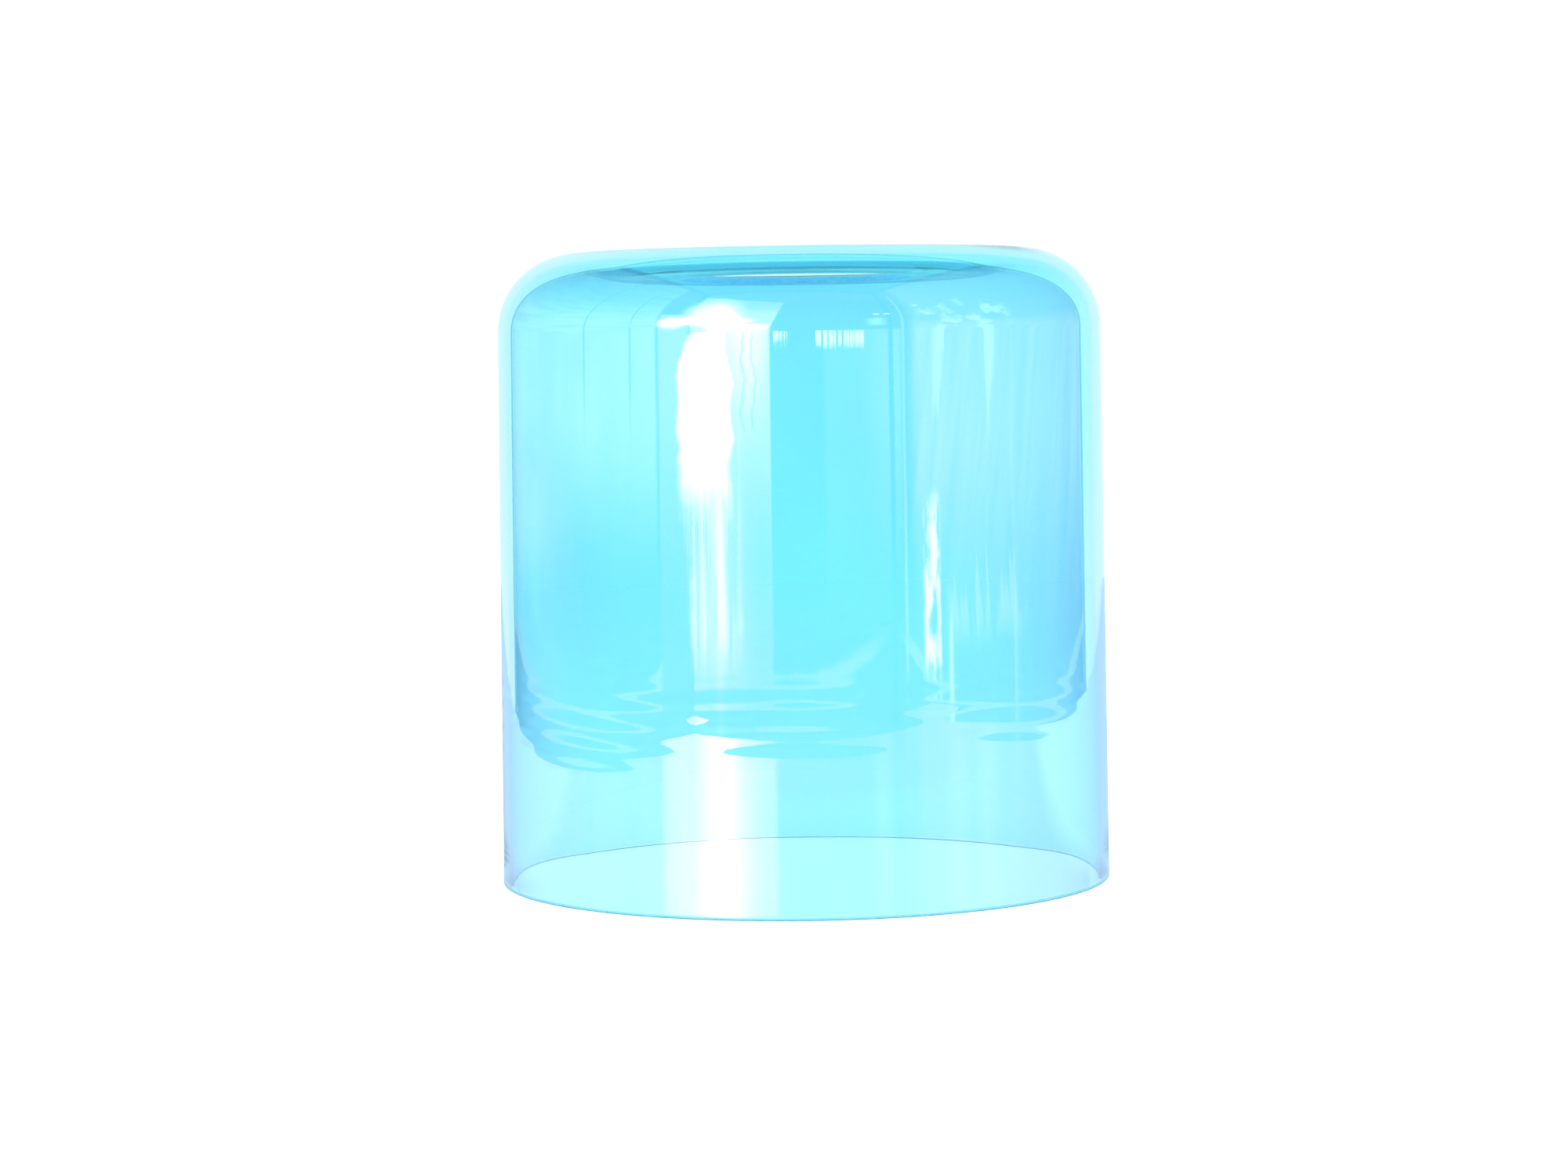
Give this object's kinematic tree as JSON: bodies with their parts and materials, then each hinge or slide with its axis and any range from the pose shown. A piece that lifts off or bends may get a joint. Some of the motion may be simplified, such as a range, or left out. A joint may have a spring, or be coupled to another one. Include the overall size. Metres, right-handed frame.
{
  "type": "glass lamp shade",
  "caption": "Thin blown glass bell shade with straight sides, an open plain rim, a round shoulder and a dished top with a lampholder hole.",
  "frame": {"origin": "centre of the open rim's plane, which is the lowest part of the shade", "axes": "+Z along the shade's axis, from the open rim towards the closed top with its hole; X and Y are any two directions, since the shade is round"},
  "size_m": [0.1164, 0.1164, 0.12],
  "materials": {
    "lustre_glass": "clear cyan glass, fire polished, with a thin iridescent lustre"
  },
  "bodies": {
    "root": {"glass_shade": "lustre_glass"}
  },
  "joints": []
}
